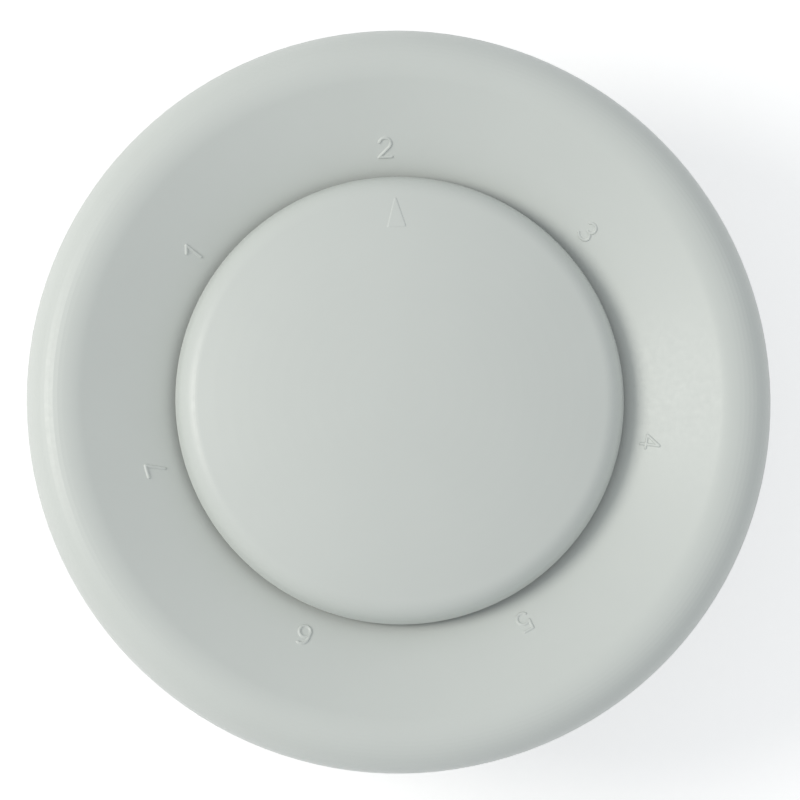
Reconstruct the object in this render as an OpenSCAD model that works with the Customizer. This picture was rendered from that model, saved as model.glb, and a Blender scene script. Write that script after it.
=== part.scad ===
// Round disc valve for a ventilation duct, set by turning its middle disc.
// Millimetres. +Z is the valve's axis, out into the room; z = 0 is the wall or ceiling face.
// The disc stands at number 2 of the scale of seven moulded round the funnel.

/* [Duct and collar] */
// Inside diameter of the duct that the collar's sleeve goes into
duct_d = 100; // [98:0.5:104]
// Radial gap between the sleeve and the duct
duct_gap = 0.7; // [0.3:0.1:1.2]
// Wall of the collar's sleeve
sleeve_wall = 2.2; // [1.8:0.1:2.6]
// Chamfer round the sleeve's rear end, as a radial step
sleeve_chamfer = 1.2; // [0.6:0.1:1.6]
// Length of sleeve behind the spindle's rear end with the valve closed
sleeve_spare = 4; // [2:0.5:12]
// Diameter of the collar's wall flange
collar_d = 120; // [118:0.5:124]
// Thickness of the collar's wall flange
collar_flange_t = 2.5; // [2:0.1:3]
// Diameter of a fixing hole
fixing_hole_d = 4.2; // [3.5:0.1:5]
// Number of fixing holes
fixing_count = 3; // [3:1:6]
// Depth of a fixing hole's countersink
fixing_sink = 1.3; // [0.8:0.1:1.6]

/* [Valve ring] */
// Outer diameter of the rim
ring_d = 150; // [146:0.5:158]
// Wall of the moulded ring
ring_wall = 2.2; // [1.8:0.1:2.6]
// Height of the rim's crest above the wall face
crest_h = 15; // [14:0.25:18]
// Gap between the rim's rear edge and the wall face
rim_gap = 0.8; // [0.4:0.1:1.6]
// Radius of the rim's outer rounding
rim_round = 7; // [6:0.25:8]
// Radius of the rounding from the crest into the funnel
crest_round = 9.6; // [8:0.2:11]
// Height of the throat's rounding above the wall face
throat_h = 5.735; // [5.6:0.05:6.4]
// Radius of the rounding from the funnel into the throat
throat_round = 4; // [3:0.25:5]
// Radial room between the ring's skirt and the collar, where the spring clips sit
clip_room = 2.9; // [2.6:0.1:3.4]
// Skirt below the bridge's arms
skirt_below = 4; // [3:0.5:8]
// Width of each gasket rib behind the funnel
gasket_rib_w = 1.6; // [1.2:0.1:2]
// Number of radial ribs inside the rim
rim_ribs = 8; // [4:1:16]
// Thickness of a radial rib inside the rim
rim_rib_t = 1.4; // [1:0.1:2]
// How far the radial ribs stop short of the wall face
rim_rib_gap = 3.2; // [2.8:0.2:5]
// Room between the radial ribs and the gasket
rim_rib_room = 0.6; // [0.4:0.1:1]

/* [Gasket] */
// Radial distance from the duct's inside to the foam gasket
gasket_gap = 0.5; // [0.2:0.1:1]
// How far the foam gasket stops short of the flange's edge
gasket_edge = 1.5; // [1:0.1:2.5]
// Thickness of the foam gasket when the valve is pressed home
gasket_t = 2; // [1.5:0.1:2.5]

/* [Bridge] */
// Number of arms from the skirt to the hub
arms = 3; // [3:1:3]
// Thickness of an arm
arm_t = 2.6; // [2:0.1:4]
// Depth of an arm along the air flow
arm_h = 9; // [7:0.5:12]
// How far the arms lie above the hub's rear face
arm_lift = 1; // [0.6:0.1:3]
// Outer diameter of the threaded hub
hub_d = 21; // [19:0.5:24]
// Length of the threaded hub
hub_len = 16; // [13:0.5:20]
// Room between the hub and the spindle's screw heads with the valve closed
hub_room = 3; // [1:0.25:5]

/* [Valve disc] */
// Outer diameter of the disc
disc_d = 90.5; // [89:0.25:94]
// Wall of the moulded disc
disc_wall = 2.2; // [1.8:0.1:2.6]
// Radius of the crowned face
face_radius = 182; // [150:2:260]
// Radius of the rounding between the face and the side
edge_round = 5; // [4:0.2:6]
// Draft of the disc's side, in degrees
side_draft = 15; // [10:1:20]
// Height of the disc's side below its rounding
side_h = 2; // [1.6:0.1:3]
// Gap between the disc and the funnel at number 1
seat_gap = 0.3; // [0.2:0.05:0.6]
// Number of stiffening ribs behind the disc
disc_ribs = 6; // [3:1:9]
// Thickness of a stiffening rib
disc_rib_t = 1.5; // [1:0.1:2]
// How far the ribs lie inside the disc's lip
disc_rib_recess = 1.5; // [1:0.1:1.6]
// How far the socket's edge lies inside the disc's lip
socket_recess = 0.6; // [0.3:0.1:0.9]
// How far the seat of the spindle's flange lies inside the disc's lip
flange_recess = 2.2; // [1.8:0.1:3]
// Wall of the socket round the spindle's flange
socket_wall = 1.8; // [1.4:0.1:2.4]

/* [Spindle] */
// Outside diameter of the spindle's thread
spindle_d = 14; // [12:0.25:15]
// Travel of the disc in one turn, over all seven numbers
thread_lead = 12; // [9:0.5:14]
// Radial clearance of the thread in the hub and the lock nut
thread_gap = 0.05; // [0.03:0.01:0.1]
// Diameter of the flange that carries the disc
spindle_flange_d = 30; // [29:0.5:34]
// Thickness of the flange that carries the disc
spindle_flange_t = 3; // [2:0.25:4]
// Diameter of the nose that centres the disc
nose_d = 10; // [8:0.5:11]
// Length of the nose that centres the disc
nose_len = 2.5; // [2:0.25:3]
// Fit of the nose and the flange in the disc
socket_gap = 0.2; // [0.1:0.05:0.4]
// Diameter of the three disc screws
disc_screw_d = 3; // [2.5:0.1:3.5]
// Diameter of the circle of disc screws
disc_screw_pcd = 21; // [20:0.25:21.5]
// Length of a disc screw below its head
disc_screw_len = 7.5; // [6:0.25:7.5]
// Diameter of a disc screw's head
disc_head_d = 5.6; // [5:0.1:6]
// Height of a disc screw's head
disc_head_h = 2; // [1.6:0.1:2.2]
// Wall of the disc's screw bosses
boss_wall = 1.7; // [1.4:0.1:1.8]

/* [Lock nut and stop] */
// Thickness of the washer behind the hub
lock_washer_t = 1.2; // [0.8:0.1:2]
// Outer diameter of the washer behind the hub
lock_washer_d = 24; // [22:0.5:28]
// Radial gap of the washer on the spindle
lock_washer_gap = 0.4; // [0.3:0.05:0.6]
// Outer diameter of the lock nut
lock_nut_d = 27; // [25:0.5:32]
// Thickness of the lock nut
lock_nut_t = 7; // [5:0.5:9]
// Number of finger scallops round the lock nut
scallops = 8; // [6:1:10]
// Radius of a finger scallop
scallop_r = 2.6; // [2:0.1:3]
// How far the lock nut backs off, in degrees
back_off = 60; // [45:5:90]
// Diameter of the stop washer
stop_washer_d = 21; // [18:0.5:26]
// Thickness of the stop washer
stop_washer_t = 1.5; // [1:0.1:2]
// Play of the stop washer at each face
stop_play = 0.1; // [0.05:0.05:0.3]
// Gap left between the stop washer and the lock nut at number 7
stop_gap = 0.3; // [0.2:0.1:1]
// Diameter of the stop screw
stop_screw_d = 4; // [3:0.25:5]
// Length of the stop screw below its head
stop_screw_len = 12; // [8:0.5:16]
// Diameter of the stop screw's head
stop_head_d = 8; // [7:0.25:9]
// Height of the stop screw's head
stop_head_h = 2.4; // [2:0.1:2.8]

/* [Spring clips] */
// Number of spring clips
clips = 3; // [3:1:3]
// Thickness of the clip's strip
clip_t = 0.5; // [0.3:0.05:0.6]
// Width of a clip round the skirt
clip_w = 9; // [8:0.5:12]
// Length of the riveted foot of a clip
clip_foot = 6.4; // [6:0.2:8]
// Length of a clip's bowed spring
clip_spring = 11; // [8:0.5:13]
// Gap between a bowed clip and the collar
clip_gap = 0.3; // [0.2:0.05:0.5]
// Diameter of a rivet's shank
rivet_d = 3; // [2.4:0.1:3.2]
// Diameter of a rivet's head
rivet_head_d = 5.4; // [5:0.1:5.8]
// Height of a rivet's head
rivet_head_h = 1; // [0.8:0.05:1.1]
// Diameter of a rivet's set end inside the skirt
rivet_tail_d = 4.4; // [4:0.1:4.8]
// Length of a rivet's set end inside the skirt
rivet_tail_h = 1.2; // [1:0.1:1.6]

/* [Hidden] */
$fn = 96;

// Colours of the finishes
white_plastic = [0.80, 0.82, 0.80];
white_acetal = [0.86, 0.86, 0.83];
grey_foam = [0.35, 0.36, 0.37];
spring_steel = [0.62, 0.63, 0.64];
zinc = [0.72, 0.73, 0.72];
aluminium = [0.78, 0.79, 0.80];

// Segments of one arc in an outline, and a small overlap that joins solids of one moulding
arc_steps = 12;
weld = 0.4;
eps = 0.01;

// Radii from the duct inwards
spigot_r = duct_d / 2 - duct_gap;
bore_r = spigot_r - sleeve_wall;
skirt_r = bore_r - clip_room;
throat_r = skirt_r - ring_wall;
collar_r = collar_d / 2;
fixing_r = (spigot_r + collar_r) / 2;
chamfer_rise = 3;
collar_edge = 0.8;
mouth_chamfer = 0.8;
sink_r = fixing_hole_d / 2 + fixing_sink;
fixing_turn = 30;

// The ring's outline: crest, funnel and throat
ring_r = ring_d / 2;
crest_r = ring_r - rim_round;
throat_mid_r = throat_r + throat_round;
throat_mid_z = throat_h - throat_round;

// The funnel's slope: its straight line touches the crest's rounding and the throat's
funnel_run = crest_r - throat_mid_r;
funnel_rise = crest_h - crest_round - throat_mid_z;
funnel_slope = acos((throat_round - crest_round) / norm([funnel_run, funnel_rise])) - atan2(funnel_run, funnel_rise);
funnel_top = [crest_r - crest_round * sin(funnel_slope), crest_h - crest_round * (1 - cos(funnel_slope))];

// The scale: numbers evenly spaced in one turn, with the arrow standing at number 2
numbers = 7;
rest_number = 2;
step = thread_lead / numbers;
close_travel = step * (rest_number - 1);
open_travel = step * (numbers - rest_number);

// The disc's outline: lip, side, rounding and crowned face
disc_r = disc_d / 2;
lip_z = funnel_z(disc_r) + seat_gap + close_travel;
side_top = [disc_r - side_h * tan(side_draft), lip_z + side_h];
edge_mid = side_top - edge_round * [cos(side_draft), sin(side_draft)];
face_mid_z = edge_mid[1] - sqrt(pow(face_radius - edge_round, 2) - pow(edge_mid[0], 2));
face_turn = atan2(edge_mid[1] - face_mid_z, edge_mid[0]);

// Levels down the axis, from the disc to the sleeve's rear end
seat_z = lip_z + flange_recess;
flange_z = seat_z - spindle_flange_t;
disc_head_r = disc_head_d / 2;
hub_top = flange_z - disc_head_h - close_travel - hub_room;
hub_end = hub_top - hub_len;
skirt_end = hub_end - skirt_below;
nut_top = hub_end - lock_washer_t;
nut_end = nut_top - lock_nut_t;
back_off_travel = thread_lead * back_off / 360;
spindle_end = nut_end - back_off_travel - stop_gap - open_travel + stop_play;
stop_top = spindle_end - stop_play;
stop_head_z = stop_top - stop_washer_t - stop_play;
stop_head_r = stop_head_d / 2;
sleeve_end = stop_head_z - stop_head_h - close_travel - sleeve_spare;

// Radii on the spindle and the disc's sockets
spindle_r = spindle_d / 2;
thread_bore_r = spindle_r + thread_gap;
lead_in = 0.8;
spindle_flange_r = spindle_flange_d / 2;
socket_r = spindle_flange_r + socket_gap;
nose_r = nose_d / 2;
nose_socket_r = nose_r + socket_gap;
nose_socket_wall = 1.6;
disc_screw_r = disc_screw_d / 2;
pilot_gap = 0.05;
pilot_spare = 0.5;
flange_hole_gap = 0.2;
boss_r = disc_screw_r + pilot_gap + boss_wall;
screw_turn = 360 / 3;
stop_screw_r = stop_screw_d / 2;
stop_hole_gap = 0.3;

// Gasket and its ribs
gasket_r = duct_d / 2 + gasket_gap;
gasket_outer_r = collar_r - gasket_edge;
gasket_top = collar_flange_t + gasket_t;
inner_rib_r = gasket_r - gasket_gap;
outer_rib_r = gasket_outer_r - gasket_rib_w;

// Clips: turned away from the bridge's arms
arm_turn = 90;
clip_turn = arm_turn + 180 / clips;
clip_angle = clip_w / (PI * skirt_r) * 180;
clip_z = skirt_end + 1.4;
clip_bow_r = bore_r - clip_gap - clip_t;
clip_tip_gap = 0.3;
rivet_z = clip_z + clip_foot / 2;
rivet_r = rivet_d / 2;
rivet_gap = 0.1;
rivet_tail_gap = 0.1;

// Points along an arc from one angle to another
function arc(mid, r, from, to) =
    [for (i = [0:arc_steps]) let (a = from + (to - from) * i / arc_steps) mid + r * [cos(a), sin(a)]];

function reversed(points) = [for (i = [len(points) - 1:-1:0]) points[i]];

// Height of the funnel's face at a radius
function funnel_z(r) = funnel_top[1] - (funnel_top[0] - r) * tan(funnel_slope);

// The rim from a level up over the crest to the funnel's top, at a depth below the face
function rim_path(depth, level) = concat(
    [[ring_r - depth, level]],
    arc([crest_r, crest_h - rim_round], rim_round - depth, 0, 90),
    arc([crest_r, crest_h - crest_round], crest_round - depth, 90, 90 + funnel_slope));

// The whole ring, from the rim's rear edge to the skirt's rear end
function ring_path(depth) = concat(
    rim_path(depth, rim_gap),
    arc([throat_mid_r, throat_mid_z], throat_round - depth, 90 + funnel_slope, 180),
    [[throat_r + depth, skirt_end]]);

// The disc from a level on its side up and in to a radius, at a depth below the face
function disc_path(depth, level, end_r) = concat(
    [[disc_r - depth / cos(side_draft) - (level - lip_z) * tan(side_draft), level]],
    arc(edge_mid, edge_round - depth, side_draft, face_turn),
    arc([0, face_mid_z], face_radius - depth, face_turn, acos(end_r / (face_radius - depth))));

// A flat plate in the plane of the axis, from an outline in radius and height
module radial_plate(points, thickness) {
    rotate([90, 0, 0])
        linear_extrude(thickness, center = true)
            polygon(points);
}

// A ring with square corners
module tube(outer_r, inner_r, low, high) {
    translate([0, 0, low])
        difference() {
            cylinder(h = high - low, r = outer_r);
            translate([0, 0, -1])
                cylinder(h = high - low + 2, r = inner_r);
        }
}

// Moulded collar: a sleeve for the duct and a flange for the wall
module mounting_collar() {
    color(white_plastic)
        difference() {
            rotate_extrude()
                polygon([
                    [bore_r, sleeve_end],
                    [spigot_r - sleeve_chamfer, sleeve_end],
                    [spigot_r, sleeve_end + chamfer_rise],
                    [spigot_r, 0],
                    [collar_r, 0],
                    [collar_r, collar_flange_t - collar_edge],
                    [collar_r - collar_edge, collar_flange_t],
                    [bore_r + mouth_chamfer, collar_flange_t],
                    [bore_r, collar_flange_t - mouth_chamfer]]);
            for (i = [0:fixing_count - 1])
                rotate([0, 0, fixing_turn + i * 360 / fixing_count])
                    translate([fixing_r, 0, 0])
                        fixing_hole();
        }
}

module fixing_hole() {
    translate([0, 0, -1])
        cylinder(h = collar_flange_t + 2, r = fixing_hole_d / 2);
    translate([0, 0, collar_flange_t - fixing_sink])
        cylinder(h = fixing_sink + eps, r1 = fixing_hole_d / 2, r2 = sink_r + eps);
}

// Moulded ring: rim, funnel, skirt, ribs and the bridge with its threaded hub
module valve_ring() {
    color(white_plastic)
        difference() {
            union() {
                rotate_extrude()
                    polygon(concat(ring_path(0), reversed(ring_path(ring_wall))));
                gasket_rib(inner_rib_r);
                gasket_rib(outer_rib_r);
                for (i = [0:rim_ribs - 1])
                    rotate([0, 0, (i + 0.5) * 360 / rim_ribs])
                        rim_rib();
                for (i = [0:arms - 1])
                    rotate([0, 0, arm_turn + i * 360 / arms])
                        bridge_arm();
                translate([0, 0, hub_end])
                    cylinder(h = hub_len, r = hub_d / 2);
            }
            hub_bore();
            for (i = [0:clips - 1])
                rotate([0, 0, clip_turn + i * 360 / clips])
                    rivet_hole();
        }
}

// One of the two rings behind the funnel that press on the gasket
module gasket_rib(r) {
    tube(r + gasket_rib_w, r, gasket_top, funnel_z(r) - ring_wall / 2);
}

// Radial rib from the outer gasket rib to the rim, stepped to clear the gasket's edge
module rim_rib() {
    inner_r = outer_rib_r + gasket_rib_w / 2;
    step_r = gasket_outer_r + rim_rib_room;
    step_z = gasket_top + rim_rib_room;
    depth = ring_wall / 2;
    radial_plate(
        concat(
            rim_path(depth, rim_rib_gap),
            [[inner_r, funnel_z(inner_r) - depth / cos(funnel_slope)], [inner_r, step_z]],
            [[step_r, step_z], [step_r, rim_rib_gap]]),
        rim_rib_t);
}

// Arm with rounded edges to the air, from the hub to the skirt
module bridge_arm() {
    start = hub_d / 2 - 2 * weld;
    translate([start, 0, hub_end + arm_lift])
        rotate([90, 0, 90])
            linear_extrude(throat_r + ring_wall / 2 - start) {
                translate([-arm_t / 2, arm_t / 2])
                    square([arm_t, arm_h - arm_t]);
                translate([0, arm_t / 2])
                    circle(d = arm_t);
                translate([0, arm_h - arm_t / 2])
                    circle(d = arm_t);
            }
}

module hub_bore() {
    translate([0, 0, hub_end - 1])
        cylinder(h = hub_len + 2, r = thread_bore_r);
    translate([0, 0, hub_top - lead_in])
        cylinder(h = lead_in + eps, r1 = thread_bore_r, r2 = thread_bore_r + lead_in + eps);
}

module rivet_hole() {
    translate([skirt_r - ring_wall - 2, 0, rivet_z])
        rotate([0, 90, 0])
            cylinder(h = ring_wall + clip_t + 4, r = rivet_r + rivet_gap);
}

// Foam ring between the valve ring and the collar's flange
module flange_gasket() {
    color(grey_foam)
        tube(gasket_outer_r, gasket_r, collar_flange_t, gasket_top);
}

// Bowed leaf of spring steel, riveted to the skirt by its foot
module spring_clip(i) {
    bow_z = clip_z + clip_foot + clip_spring * 0.5;
    tip_z = clip_z + clip_foot + clip_spring;
    path = [
        [skirt_r, clip_z],
        [skirt_r, clip_z + clip_foot],
        [clip_bow_r, bow_z - 1],
        [clip_bow_r, bow_z + 1],
        [skirt_r + clip_tip_gap, tip_z]];
    color(spring_steel)
        rotate([0, 0, clip_turn + i * 360 / clips])
            difference() {
                rotate([0, 0, -clip_angle / 2])
                    rotate_extrude(angle = clip_angle)
                        polygon(concat(path, reversed([for (p = path) p + [clip_t, 0]])));
                rivet_hole();
            }
}

// Blind rivet through a clip's foot and the skirt
module clip_rivet(i) {
    head_r = skirt_r + clip_t;
    tail_r = throat_r - rivet_tail_gap;
    color(aluminium)
        rotate([0, 0, clip_turn + i * 360 / clips])
            translate([0, 0, rivet_z])
                rotate([0, 90, 0])
                    rotate_extrude()
                        polygon([
                            [0, tail_r - rivet_tail_h],
                            [rivet_tail_d / 2 - 0.5, tail_r - rivet_tail_h],
                            [rivet_tail_d / 2, tail_r - rivet_tail_h + 0.5],
                            [rivet_tail_d / 2, tail_r],
                            [rivet_r, tail_r],
                            [rivet_r, head_r],
                            [rivet_head_d / 2, head_r],
                            [rivet_head_d / 2 - 0.3, head_r + rivet_head_h * 0.6],
                            [rivet_head_d / 2 - 1.1, head_r + rivet_head_h],
                            [0, head_r + rivet_head_h]]);
}

// Moulded disc: a crowned cup with ribs and the sockets for the spindle
module valve_disc() {
    color(white_plastic)
        difference() {
            union() {
                rotate_extrude()
                    polygon(concat(disc_path(0, lip_z, 0), reversed(disc_path(disc_wall, lip_z, 0))));
                for (i = [0:disc_ribs - 1])
                    rotate([0, 0, (i + 0.5) * 360 / disc_ribs])
                        disc_rib();
                tube(socket_r + socket_wall, socket_r, lip_z + socket_recess, inside_z(socket_r + socket_wall));
                tube(nose_socket_r + nose_socket_wall, nose_socket_r, seat_z, inside_z(nose_socket_r));
                for (i = [0:2])
                    rotate([0, 0, i * screw_turn])
                        translate([disc_screw_pcd / 2, 0, seat_z])
                            cylinder(h = inside_z(disc_screw_pcd / 2) - seat_z, r = boss_r);
            }
            for (i = [0:2])
                rotate([0, 0, i * screw_turn])
                    translate([disc_screw_pcd / 2, 0, seat_z - 1])
                        cylinder(h = disc_screw_len - spindle_flange_t + pilot_spare + 1, r = disc_screw_r + pilot_gap);
        }
}

// A level inside the disc's wall at a radius, where bosses end
function inside_z(r) = face_mid_z + sqrt(pow(face_radius, 2) - pow(r, 2)) - disc_wall * 0.6;

module disc_rib() {
    level = lip_z + disc_rib_recess;
    inner_r = socket_r + socket_wall / 2;
    radial_plate(concat(disc_path(disc_wall / 2, level, inner_r), [[inner_r, level]]), disc_rib_t);
}

// Coarse-threaded spindle with a flange and a nose for the disc
module spindle() {
    color(white_acetal)
        difference() {
            union() {
                translate([0, 0, spindle_end])
                    cylinder(h = flange_z - spindle_end + weld, r = spindle_r);
                translate([0, 0, flange_z])
                    cylinder(h = spindle_flange_t, r = spindle_flange_r);
                translate([0, 0, flange_z])
                    cylinder(h = spindle_flange_t + nose_len, r = nose_r);
            }
            translate([0, 0, spindle_end - 1])
                cylinder(h = stop_screw_len + pilot_spare + 1, r = stop_screw_r + pilot_gap);
            for (i = [0:2])
                rotate([0, 0, i * screw_turn])
                    translate([disc_screw_pcd / 2, 0, flange_z - 1])
                        cylinder(h = spindle_flange_t + 2, r = disc_screw_r + flange_hole_gap);
        }
}

// Pan-headed screw with its head down, the head's seat at z = 0 and a cross recess
module pan_screw(shank_r, len, head_r, head_h) {
    difference() {
        rotate_extrude()
            polygon(concat(
                [[0, len], [shank_r * 0.3, len], [shank_r, len - shank_r], [shank_r, 0], [head_r, 0]],
                [for (a = [0:15:90]) [head_r - head_h * 0.6 * (1 - cos(a)), -head_h * (0.4 + 0.6 * sin(a))]],
                [[0, -head_h]]));
        for (a = [0, 90])
            rotate([0, 0, a])
                translate([-head_r * 0.6, -head_r * 0.14, -head_h - 1])
                    cube([head_r * 1.2, head_r * 0.28, head_h * 0.5 + 1]);
    }
}

// One of the three screws that hold the disc on the spindle's flange
module spindle_screw(i) {
    color(zinc)
        rotate([0, 0, i * screw_turn])
            translate([disc_screw_pcd / 2, 0, flange_z])
                pan_screw(disc_screw_r, disc_screw_len, disc_head_r, disc_head_h);
}

// Washer on the spindle between the hub and the lock nut
module lock_washer() {
    color(white_acetal)
        tube(lock_washer_d / 2, spindle_r + lock_washer_gap, nut_top, hub_end);
}

// Lock nut with finger scallops
module lock_nut() {
    nut_r = lock_nut_d / 2;
    color(white_plastic)
        difference() {
            translate([0, 0, nut_end])
                cylinder(h = lock_nut_t, r = nut_r);
            for (i = [0:scallops - 1])
                rotate([0, 0, i * 360 / scallops])
                    translate([nut_r + scallop_r * 0.5, 0, nut_end - 1])
                        cylinder(h = lock_nut_t + 2, r = scallop_r);
            translate([0, 0, nut_end - 1])
                cylinder(h = lock_nut_t + 2, r = thread_bore_r);
            translate([0, 0, nut_end - eps])
                cylinder(h = lead_in + eps, r1 = thread_bore_r + lead_in + eps, r2 = thread_bore_r);
        }
}

// Washer held on the spindle's end, which stops the disc from leaving the hub
module stop_washer() {
    color(zinc)
        tube(stop_washer_d / 2, stop_screw_r + stop_hole_gap, stop_top - stop_washer_t, stop_top);
}

// Screw in the spindle's end that holds the stop washer
module stop_screw() {
    color(zinc)
        translate([0, 0, stop_head_z])
            pan_screw(stop_screw_r, stop_screw_len, stop_head_r, stop_head_h);
}

mounting_collar();
valve_ring();
flange_gasket();
spring_clip(0);  // spring_clip_1
spring_clip(1);  // spring_clip_2
spring_clip(2);  // spring_clip_3
clip_rivet(0);  // clip_rivet_1
clip_rivet(1);  // clip_rivet_2
clip_rivet(2);  // clip_rivet_3
lock_washer();
lock_nut();
stop_washer();
valve_disc();
spindle();
spindle_screw(0);  // spindle_screw_1
spindle_screw(1);  // spindle_screw_2
spindle_screw(2);  // spindle_screw_3
stop_screw();
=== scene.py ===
import math

import bmesh
import bpy
import numpy as np
from mathutils import Matrix, Vector
from mathutils.bvhtree import BVHTree


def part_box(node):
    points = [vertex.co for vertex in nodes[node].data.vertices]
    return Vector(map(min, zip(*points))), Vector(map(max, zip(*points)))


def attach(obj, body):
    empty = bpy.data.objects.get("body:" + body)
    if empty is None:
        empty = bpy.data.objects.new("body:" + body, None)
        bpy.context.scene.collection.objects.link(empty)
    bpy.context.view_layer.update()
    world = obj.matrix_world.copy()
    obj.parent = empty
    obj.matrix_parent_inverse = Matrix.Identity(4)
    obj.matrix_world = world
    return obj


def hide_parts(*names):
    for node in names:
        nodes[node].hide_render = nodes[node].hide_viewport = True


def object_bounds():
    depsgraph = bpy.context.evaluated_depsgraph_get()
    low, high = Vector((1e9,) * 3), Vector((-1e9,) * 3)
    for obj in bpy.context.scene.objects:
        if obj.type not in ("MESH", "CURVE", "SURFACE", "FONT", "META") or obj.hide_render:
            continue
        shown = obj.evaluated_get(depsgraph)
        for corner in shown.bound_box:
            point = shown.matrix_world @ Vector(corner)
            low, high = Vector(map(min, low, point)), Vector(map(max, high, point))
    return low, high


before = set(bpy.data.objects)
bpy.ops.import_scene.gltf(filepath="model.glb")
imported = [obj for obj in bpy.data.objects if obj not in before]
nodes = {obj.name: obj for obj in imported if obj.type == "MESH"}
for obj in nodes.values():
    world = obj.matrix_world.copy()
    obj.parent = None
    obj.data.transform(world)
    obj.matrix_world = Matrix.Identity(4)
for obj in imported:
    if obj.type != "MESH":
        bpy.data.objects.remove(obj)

cad_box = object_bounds()
mm = 0.001


# Mounting collar
# White moulded collar: the sleeve goes into the duct and the flange is screwed to the wall.
# Its plastic is the same as the ring's, with the fine spark grain of the mould on its plain faces.
def new_group(name, inputs, outputs):
    """An empty shader group with named float or colour sockets, and its two ends."""
    group = bpy.data.node_groups.new(name, "ShaderNodeTree")
    for label, kind, value in inputs:
        socket = group.interface.new_socket(label, in_out="INPUT", socket_type=kind)
        socket.default_value = value
    for label, kind in outputs:
        group.interface.new_socket(label, in_out="OUTPUT", socket_type=kind)
    return group, group.nodes.new("NodeGroupInput"), group.nodes.new("NodeGroupOutput")


def noise(tree, scale, detail=3.0, roughness=0.5, vector=None):
    texture = tree.nodes.new("ShaderNodeTexNoise")
    texture.inputs["Scale"].default_value = scale
    texture.inputs["Detail"].default_value = detail
    texture.inputs["Roughness"].default_value = roughness
    if vector is not None:
        tree.links.new(vector, texture.inputs["Vector"])
    return texture.outputs["Fac"]


def spread(tree, value, low, high, to_low, to_high):
    """Maps a value's range onto another, held at both ends."""
    node = tree.nodes.new("ShaderNodeMapRange")
    tree.links.new(value, node.inputs["Value"])
    for label, number in (("From Min", low), ("From Max", high), ("To Min", to_low), ("To Max", to_high)):
        node.inputs[label].default_value = number
    return node.outputs["Result"]


def sums(tree, operation, a, b):
    node = tree.nodes.new("ShaderNodeMath")
    node.operation = operation
    for socket, value in zip(node.inputs, (a, b)):
        if isinstance(value, (int, float)):
            socket.default_value = value
        else:
            tree.links.new(value, socket)
    return node.outputs[0]


def tinted(tree, factor, a, b):
    """Mixes two colours, each a socket or four numbers."""
    node = tree.nodes.new("ShaderNodeMix")
    node.data_type = "RGBA"
    tree.links.new(factor, node.inputs["Factor"])
    for socket, value in ((node.inputs[6], a), (node.inputs[7], b)):
        if isinstance(value, tuple):
            socket.default_value = value
        else:
            tree.links.new(value, socket)
    return node.outputs[2]


# Mould grain: the tone and gloss of satin plastic drift a little, and its skin is finely pitted
grain_group, ends_in, ends_out = new_group(
    "mould grain",
    [("Tone", "NodeSocketColor", (0.7, 0.7, 0.7, 1)), ("Drift", "NodeSocketFloat", 0.05),
     ("Gloss", "NodeSocketFloat", 0.4)],
    [("Color", "NodeSocketColor"), ("Roughness", "NodeSocketFloat"), ("Height", "NodeSocketFloat")])
place = grain_group.nodes.new("ShaderNodeTexCoord").outputs["Object"]
cloud = noise(grain_group, 45, 4, 0.55, place)
speck = noise(grain_group, 900, 2, 0.6, place)
pits = noise(grain_group, 2600, 2, 0.5, place)
shade = sums(grain_group, "MULTIPLY", sums(grain_group, "SUBTRACT", cloud, 0.5), ends_in.outputs["Drift"])
shade = sums(grain_group, "ADD", shade, 1.0)
scaled = grain_group.nodes.new("ShaderNodeVectorMath")
scaled.operation = "SCALE"
grain_group.links.new(ends_in.outputs["Tone"], scaled.inputs[0])
grain_group.links.new(shade, scaled.inputs["Scale"])
grain_group.links.new(scaled.outputs[0], ends_out.inputs["Color"])
rough = sums(grain_group, "ADD", ends_in.outputs["Gloss"], spread(grain_group, speck, 0.3, 0.7, -0.04, 0.06))
grain_group.links.new(rough, ends_out.inputs["Roughness"])
skin = sums(grain_group, "ADD", sums(grain_group, "MULTIPLY", speck, 0.6), sums(grain_group, "MULTIPLY", pits, 0.4))
grain_group.links.new(skin, ends_out.inputs["Height"])


def new_material(name):
    material = bpy.data.materials.new(name)
    material.use_nodes = True
    tree = material.node_tree
    shader = tree.nodes["Principled BSDF"]
    return material, tree, shader


def bumped(tree, shader, height, distance, strength=1.0):
    bump = tree.nodes.new("ShaderNodeBump")
    bump.inputs["Distance"].default_value = distance
    bump.inputs["Strength"].default_value = strength
    tree.links.new(height, bump.inputs["Height"])
    tree.links.new(bump.outputs["Normal"], shader.inputs["Normal"])


def moulded(name, tone, gloss=0.4, drift=0.05, relief=0.004 * mm):
    """Satin injection-moulded plastic of one tone."""
    material, tree, shader = new_material(name)
    grain = tree.nodes.new("ShaderNodeGroup")
    grain.node_tree = grain_group
    grain.inputs["Tone"].default_value = (*tone, 1)
    grain.inputs["Drift"].default_value = drift
    grain.inputs["Gloss"].default_value = gloss
    tree.links.new(grain.outputs["Color"], shader.inputs["Base Color"])
    tree.links.new(grain.outputs["Roughness"], shader.inputs["Roughness"])
    bumped(tree, shader, grain.outputs["Height"], relief)
    return material


def dress(obj, material):
    obj.data.materials.clear()
    obj.data.materials.append(material)


white_tone = (0.66, 0.69, 0.66)
collar_plastic = moulded("collar plastic", white_tone, gloss=0.45)
dress(nodes["mounting_collar"], collar_plastic)


# Valve ring
# One white ABS moulding: the rounded rim, the funnel with its raised numbers, the skirt and the
# bridge with the threaded hub. The rim grips the wall by the clips behind it.
ring_plastic = moulded("ring plastic", white_tone, gloss=0.4)
dress(nodes["valve_ring"], ring_plastic)


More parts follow.
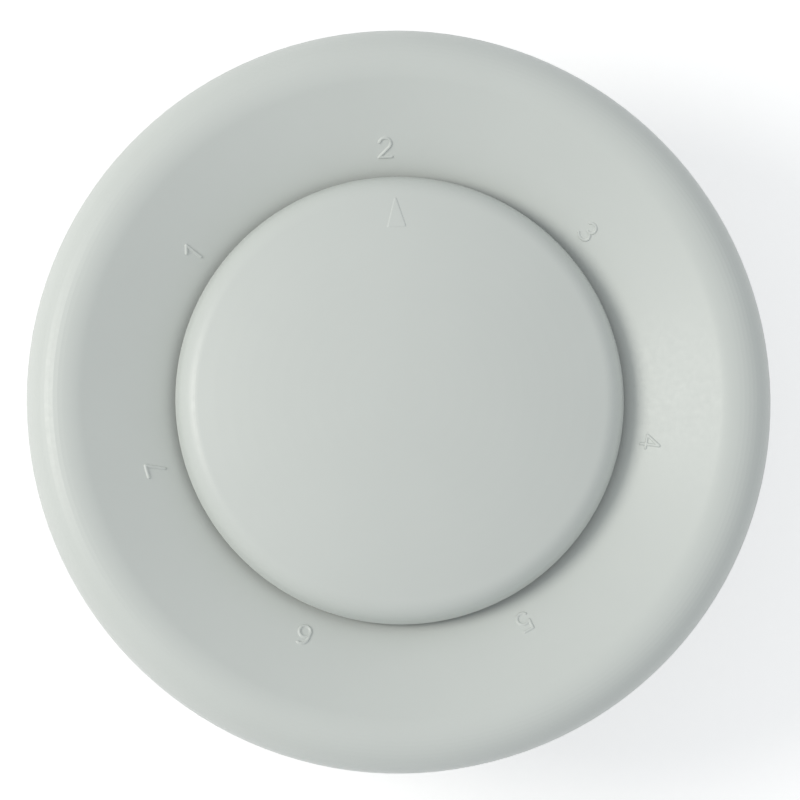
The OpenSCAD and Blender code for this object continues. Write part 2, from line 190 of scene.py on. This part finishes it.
# Numbers on the funnel
# Raised figures 1 to 7, cut into the mould with a ball cutter, so they stand 0.3 mm proud with soft
# shoulders. Their tops point outwards, and they count clockwise round the funnel.
figure_height = 4.0 * mm
figure_stroke = 0.36 * mm
figure_rise = 0.28 * mm
figure_circle = 51.2 * mm
figure_step = 360 / 7
arrow_number = 2


def bowl(x, y, rx, ry, start, end, count=14):
    """Points along part of an oval, from one angle to another."""
    turns = [math.radians(start + (end - start) * i / count) for i in range(count + 1)]
    return [(x + rx * math.cos(t), y + ry * math.sin(t)) for t in turns]


# Strokes of each figure, in figure heights from the middle of its foot
figures = {
    1: [[(-0.24, 0.74), (0.08, 1.0), (0.08, 0.0)]],
    2: [bowl(0, 0.71, 0.29, 0.29, 165, -35) + [(-0.31, 0.0), (0.32, 0.0)]],
    3: [bowl(-0.02, 0.75, 0.27, 0.25, 150, -80), bowl(-0.02, 0.26, 0.31, 0.26, 88, -150)],
    4: [[(0.14, 0.0), (0.14, 1.0), (-0.33, 0.3), (0.34, 0.3)]],
    5: [[(0.28, 1.0), (-0.2, 1.0), (-0.25, 0.53)] + bowl(0.0, 0.32, 0.3, 0.32, 128, -145)],
    6: [bowl(0.06, 0.62, 0.33, 0.4, 70, 180) + [(-0.28, 0.32)], bowl(0.01, 0.31, 0.29, 0.31, 0, 360, 24)],
    7: [[(-0.3, 1.0), (0.32, 1.0), (-0.06, 0.0)]],
}


def stroke_distance(points, strokes):
    """Distance of each point from the nearest stroke."""
    best = np.full(len(points), 1e9)
    for stroke in strokes:
        corners = np.array(stroke)
        for a, b in zip(corners[:-1], corners[1:]):
            along = b - a
            share = np.clip(((points - a) @ along) / max(along @ along, 1e-12), 0, 1)
            best = np.minimum(best, np.linalg.norm(points - a - share[:, None] * along, axis=1))
    return best


def surface_of(obj):
    """A tree of an object's faces, for finding the surface under a point."""
    work = bmesh.new()
    work.from_mesh(obj.data)
    tree = BVHTree.FromBMesh(work)
    work.free()
    return tree


def relief(name, distance, centre, half, step, width, rise, place):
    """A raised mark: a fine grid over the mark that sinks under the surface all round it."""
    columns = int(2 * half[0] / step) + 1
    rows = int(2 * half[1] / step) + 1
    xs = centre[0] + np.linspace(-half[0], half[0], columns)
    ys = centre[1] + np.linspace(-half[1], half[1], rows)
    grid = np.array([(x, y) for y in ys for x in xs])
    away = distance(grid)
    shoulder = np.clip((away - 0.35 * width) / (0.9 * width), 0, 1)
    height = rise * (1 - shoulder * shoulder * (3 - 2 * shoulder)) - 0.25 * rise * shoulder
    keep = away < 1.6 * width
    mesh = bmesh.new()
    made = {}
    for i, (x, y) in enumerate(grid):
        if keep[i]:
            point, normal = place(x, y)
            made[i] = mesh.verts.new(point + normal * height[i])
    for row in range(rows - 1):
        for column in range(columns - 1):
            i = row * columns + column
            corners = (i, i + 1, i + columns + 1, i + columns)
            if all(c in made for c in corners):
                mesh.faces.new([made[c] for c in corners]).smooth = True
    data = bpy.data.meshes.new(name)
    mesh.normal_update()
    mesh.to_mesh(data)
    mesh.free()
    obj = bpy.data.objects.new(name, data)
    bpy.context.scene.collection.objects.link(obj)
    return obj


ring_surface = surface_of(nodes["valve_ring"])


def funnel_height(radius):
    """Height of the funnel's face at a radius, read off the ring between two of its ribs."""
    turn = math.radians(80)
    start = Vector((radius * math.cos(turn), radius * math.sin(turn), 0.1))
    return ring_surface.ray_cast(start, Vector((0, 0, -1)))[0].z


funnel_low, funnel_high = funnel_height(49 * mm), funnel_height(56 * mm)
funnel_slope = math.atan2(funnel_high - funnel_low, 7 * mm)


def on_funnel(turn):
    """Places a flat mark on the funnel at an angle, its top pointing outwards."""
    def place(x, y):
        radius = figure_circle + (y - figure_height / 2) * math.cos(funnel_slope)
        angle = turn - x / radius
        out = Vector((math.cos(angle), math.sin(angle), 0))
        height = funnel_low + (radius - 49 * mm) * math.tan(funnel_slope)
        normal = Vector((0, 0, math.cos(funnel_slope))) - out * math.sin(funnel_slope)
        return out * radius + Vector((0, 0, height)), normal
    return place


for number, strokes in figures.items():
    scaled_strokes = [[(x * figure_height, y * figure_height) for x, y in stroke] for stroke in strokes]
    turn = math.radians(90 - figure_step * (number - arrow_number))
    figure = relief(
        f"number_{number}", lambda p, s=scaled_strokes: stroke_distance(p, s),
        (0, figure_height / 2), (0.6 * figure_height, 0.72 * figure_height), 0.09 * mm,
        figure_stroke, figure_rise, on_funnel(turn))
    dress(figure, ring_plastic)
    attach(figure, "valve_ring")


# Flange gasket
# Ring of closed-cell foam behind the ring, pressed flat between the ring's two ribs and the flange.
# Its cut edges bulge a little, and its skin is open-celled where it was cut.
def lathe(name, profile, segments=192, closed=True):
    """Turns an outline of radius and height round the axis."""
    mesh = bmesh.new()
    rings = []
    for i in range(segments):
        turn = 2 * math.pi * i / segments
        rings.append([mesh.verts.new((r * math.cos(turn), r * math.sin(turn), z)) for r, z in profile])
    last = len(profile) if closed else len(profile) - 1
    for i in range(segments):
        here, there = rings[i], rings[(i + 1) % segments]
        for j in range(last):
            k = (j + 1) % len(profile)
            mesh.faces.new((here[j], there[j], there[k], here[k])).smooth = True
    bmesh.ops.recalc_face_normals(mesh, faces=mesh.faces)
    data = bpy.data.meshes.new(name)
    mesh.to_mesh(data)
    mesh.free()
    obj = bpy.data.objects.new(name, data)
    bpy.context.scene.collection.objects.link(obj)
    return obj


foam, tree, shader = new_material("gasket foam")
place = tree.nodes.new("ShaderNodeTexCoord").outputs["Object"]
cells = tree.nodes.new("ShaderNodeTexVoronoi")
cells.inputs["Scale"].default_value = 2400
tree.links.new(place, cells.inputs["Vector"])
pore_depth_and_shade = spread(tree, cells.outputs["Distance"], 0.0, 0.7, 0.0, 1.0)
# The pore hollows are painted darker than the cell walls. This is painted shade in the pores, laid over the foam's
# own near-black grey, and the same depth drives the bump.
tree.links.new(tinted(tree, pore_depth_and_shade, (0.045, 0.047, 0.05, 1), (0.12, 0.125, 0.13, 1)), shader.inputs["Base Color"])
tree.links.new(spread(tree, noise(tree, 300, 3, 0.6, place), 0.3, 0.7, 0.8, 0.95), shader.inputs["Roughness"])
bumped(tree, shader, pore_depth_and_shade, 0.08 * mm)

low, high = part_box("flange_gasket")
gasket_outer = high.x
gasket_inner = gasket_outer - 8 * mm
gasket_mid = (low.z + high.z) / 2
gasket_half = (high.z - low.z) / 2
bulge = 0.35 * mm
edge_turns = [math.radians(-90 + 180 * i / 8) for i in range(9)]
gasket_profile = [
    (gasket_outer + bulge * math.cos(t), gasket_mid + gasket_half * math.sin(t)) for t in edge_turns]
gasket_profile += [
    (gasket_inner - bulge * math.cos(t), gasket_mid - gasket_half * math.sin(t)) for t in edge_turns]
gasket = lathe("foam_gasket", gasket_profile)
dress(gasket, foam)
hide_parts("flange_gasket")
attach(gasket, "valve_ring")


# Spring clips and rivets
# Three bowed leaves of stainless strip grip the collar's bore. Aluminium blind rivets hold their
# feet to the skirt.
def brushed(name, tone, gloss, stretch, relief_depth, streak=0.12):
    """Metal with fine rolling or tool marks along one direction."""
    material, tree, shader = new_material(name)
    shader.inputs["Metallic"].default_value = 1.0
    place = tree.nodes.new("ShaderNodeTexCoord").outputs["Object"]
    mapping = tree.nodes.new("ShaderNodeMapping")
    mapping.inputs["Scale"].default_value = stretch
    tree.links.new(place, mapping.inputs["Vector"])
    marks = noise(tree, 1500, 3, 0.6, mapping.outputs["Vector"])
    stain = noise(tree, 160, 3, 0.55, place)
    darker = tuple(c * (1 - streak) for c in tone)
    tree.links.new(tinted(tree, spread(tree, stain, 0.35, 0.7, 0, 1), (*tone, 1), (*darker, 1)), shader.inputs["Base Color"])
    tree.links.new(spread(tree, marks, 0.3, 0.7, gloss - 0.06, gloss + 0.1), shader.inputs["Roughness"])
    bumped(tree, shader, marks, relief_depth)
    return material


clip_steel = brushed("rolled steel", (0.52, 0.53, 0.54), 0.3, (1, 1, 0.06), 0.006 * mm)
rivet_alloy = brushed("rivet aluminium", (0.66, 0.67, 0.68), 0.36, (1, 1, 1), 0.006 * mm)
for number in (1, 2, 3):
    dress(nodes[f"spring_clip_{number}"], clip_steel)
    dress(nodes[f"clip_rivet_{number}"], rivet_alloy)


# Valve disc
# White ABS cup with a crowned face. It is screwed to the spindle, so turning it by hand moves it
# in and out. A low triangle on its face shows the setting.
disc_plastic = moulded("disc plastic", white_tone, gloss=0.38)
dress(nodes["valve_disc"], disc_plastic)

mark_turn = math.radians(88.5)
mark_foot = 34.4 * mm
mark_height = 5.6 * mm
mark_width = 3.2 * mm
mark_rise = 0.16 * mm
disc_surface = surface_of(nodes["valve_disc"])
mark_corners = np.array([(-mark_width / 2, 0), (mark_width / 2, 0), (0, mark_height)])


def mark_distance(points):
    """Distance outside the triangle, and 0 inside it."""
    edges = [mark_corners[[i, (i + 1) % 3]].tolist() for i in range(3)]
    away = stroke_distance(points, edges)
    inside = np.ones(len(points), bool)
    for i in range(3):
        a, b = mark_corners[i], mark_corners[(i + 1) % 3]
        side = (b[0] - a[0]) * (points[:, 1] - a[1]) - (b[1] - a[1]) * (points[:, 0] - a[0])
        inside &= side >= 0
    return np.where(inside, 0, away)


def on_disc(x, y):
    out = Vector((math.cos(mark_turn), math.sin(mark_turn), 0))
    side = Vector((out.y, -out.x, 0))
    above = out * (mark_foot + y) + side * x + Vector((0, 0, 0.1))
    point, normal, _, _ = disc_surface.ray_cast(above, Vector((0, 0, -1)))
    return point, normal


mark = relief(
    "setting_mark", mark_distance, (0, mark_height / 2), (mark_width, mark_height * 0.75),
    0.12 * mm, 0.3 * mm, mark_rise, on_disc)
dress(mark, disc_plastic)
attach(mark, "valve_disc")


# Spindle
# White acetal spindle with a coarse four-start thread of 12 mm lead, and a flange that carries
# the disc. It screws through the bridge's hub.
acetal = moulded("acetal", (0.7, 0.7, 0.66), gloss=0.32, drift=0.03, relief=0.002 * mm)
low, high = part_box("spindle")
spindle_end = low.z
flange_top = high.z - 2.5 * mm
flange_low = flange_top - 3 * mm
flange_r = high.x
thread_r = 7.0 * mm
root_r = 6.1 * mm
lead = 12 * mm
starts = 4
thread_segments = 128
thread_step = 0.2 * mm


def thread_radius(turn, z):
    """Radius of the threaded spindle, with flat crests, flat roots and sloping flanks."""
    part = (starts * (z / lead - turn / (2 * math.pi))) % 1.0
    rise = min(1.0, max(0.0, 2.9 - abs(part - 0.5) / 0.125))
    taper = min(1.0, max(0.0, (z - spindle_end) / (1.0 * mm)))
    return min(root_r + (thread_r - root_r) * rise, root_r - 0.3 * mm + (thread_r - root_r + 0.3 * mm) * taper)


mesh = bmesh.new()
levels = int((flange_low + 0.2 * mm - spindle_end) / thread_step) + 1
rings = []
for level in range(levels):
    z = min(spindle_end + level * thread_step, flange_low + 0.2 * mm)
    turns = [2 * math.pi * i / thread_segments for i in range(thread_segments)]
    radii = [thread_radius(t, z) for t in turns]
    rings.append([mesh.verts.new((r * math.cos(t), r * math.sin(t), z)) for t, r in zip(turns, radii)])
for a, b in zip(rings[:-1], rings[1:]):
    for i in range(thread_segments):
        j = (i + 1) % thread_segments
        mesh.faces.new((a[i], a[j], b[j], b[i])).smooth = True
mesh.faces.new(rings[0][::-1])
mesh.faces.new(rings[-1])
data = bpy.data.meshes.new("spindle_thread")
mesh.to_mesh(data)
mesh.free()
thread = bpy.data.objects.new("spindle_thread", data)
bpy.context.scene.collection.objects.link(thread)
dress(thread, acetal)
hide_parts("spindle")
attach(thread, "valve_disc")

soft = 0.4 * mm
flange_profile = [
    (0.1 * mm, flange_low), (flange_r - soft, flange_low), (flange_r - 0.12 * mm, flange_low + 0.12 * mm),
    (flange_r, flange_low + soft), (flange_r, flange_top - 0.05 * mm), (0.1 * mm, flange_top - 0.05 * mm)]
spindle_flange = lathe("spindle_flange", flange_profile)
for face in spindle_flange.data.polygons:
    face.use_smooth = False
dress(spindle_flange, acetal)
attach(spindle_flange, "valve_disc")


# Screws and stop washer
# Zinc-plated pan-head screws hold the disc and the stop washer.
zinc = brushed("zinc plate", (0.55, 0.57, 0.58), 0.34, (1, 1, 1), 0.005 * mm, streak=0.2)
for name in ("spindle_screw_1", "spindle_screw_2", "spindle_screw_3", "stop_screw", "stop_washer"):
    dress(nodes[name], zinc)


# Lock nut and its washer
# White lock nut with finger scallops, and an acetal washer between it and the hub.
nut_plastic = moulded("nut plastic", white_tone, gloss=0.42)
dress(nodes["lock_nut"], nut_plastic)
dress(nodes["lock_washer"], acetal)


# Studio
# A white table under the sleeve, one large soft lamp at the left and an even white room.
scene = bpy.context.scene
scene.view_settings.view_transform = "Standard"

floor_mesh = bpy.data.meshes.new("table")
floor_level = cad_box[0].z - 0.1 * mm
floor_mesh.from_pydata([(-4, -4, floor_level), (4, -4, floor_level), (4, 4, floor_level), (-4, 4, floor_level)], [], [(0, 1, 2, 3)])
table = bpy.data.objects.new("table", floor_mesh)
scene.collection.objects.link(table)
paint, tree, shader = new_material("table paint")
shader.inputs["Base Color"].default_value = (0.8, 0.8, 0.8, 1)
shader.inputs["Roughness"].default_value = 0.9
glow = tree.nodes.new("ShaderNodeEmission")
glow.inputs["Strength"].default_value = 0.45
path = tree.nodes.new("ShaderNodeLightPath")
seen = sums(tree, "MAXIMUM", path.outputs["Is Camera Ray"], path.outputs["Is Glossy Ray"])
seen = sums(tree, "MAXIMUM", seen, path.outputs["Is Transmission Ray"])
tree.links.new(sums(tree, "MULTIPLY", seen, 0.45), glow.inputs["Strength"])
both = tree.nodes.new("ShaderNodeAddShader")
tree.links.new(shader.outputs[0], both.inputs[0])
tree.links.new(glow.outputs[0], both.inputs[1])
tree.links.new(both.outputs[0], tree.nodes["Material Output"].inputs["Surface"])
floor_mesh.materials.append(paint)

world = bpy.data.worlds.new("room")
scene.world = world
world.use_nodes = True
tree = world.node_tree
room = tree.nodes["Background"]
room.inputs["Color"].default_value = (0.94, 0.97, 1.0, 1)
room.inputs["Strength"].default_value = 0.6
bright = tree.nodes.new("ShaderNodeBackground")
bright.inputs["Color"].default_value = (1, 1, 1, 1)
path = tree.nodes.new("ShaderNodeLightPath")
mixed = tree.nodes.new("ShaderNodeMixShader")
tree.links.new(path.outputs["Is Camera Ray"], mixed.inputs[0])
tree.links.new(room.outputs[0], mixed.inputs[1])
tree.links.new(bright.outputs[0], mixed.inputs[2])
tree.links.new(mixed.outputs[0], tree.nodes["World Output"].inputs["Surface"])

lamp_distance = 1.2
lamp_turn = math.radians(171)
lamp_rise = math.radians(42)
lamp_data = bpy.data.lights.new("soft lamp", "AREA")
lamp_data.shape = "DISK"
lamp_data.size = 0.55
lamp_data.energy = 6.2
lamp_data.color = (1.0, 0.98, 0.92)
lamp = bpy.data.objects.new("soft lamp", lamp_data)
scene.collection.objects.link(lamp)
lamp.location = Vector((
    math.cos(lamp_rise) * math.cos(lamp_turn), math.cos(lamp_rise) * math.sin(lamp_turn),
    math.sin(lamp_rise))) * lamp_distance
lamp.rotation_euler = lamp.location.to_track_quat("Z", "Y").to_euler()

# Camera: almost straight in front, a little below and to the left of the valve's axis
view_distance = 1.0
view_tilt = math.radians(6.5)
view_turn = math.radians(229.6)
view_roll = math.radians(86.5)
view_width = 161.16 * mm
target = Vector((0.0, 0.0, 7.0 * mm))
away = Vector((
    math.sin(view_tilt) * math.cos(view_turn), math.sin(view_tilt) * math.sin(view_turn), math.cos(view_tilt)))
right = Vector((math.cos(view_roll), math.sin(view_roll), 0)).cross(away).normalized()
camera_data = bpy.data.cameras.new("camera")
camera_data.sensor_width = 36
camera_data.lens = 36 * view_distance / view_width
camera = bpy.data.objects.new("camera", camera_data)
scene.collection.objects.link(camera)
axes = Matrix((right, away.cross(right), away)).transposed().to_4x4()
camera.matrix_world = Matrix.Translation(target + away * view_distance) @ axes
scene.camera = camera
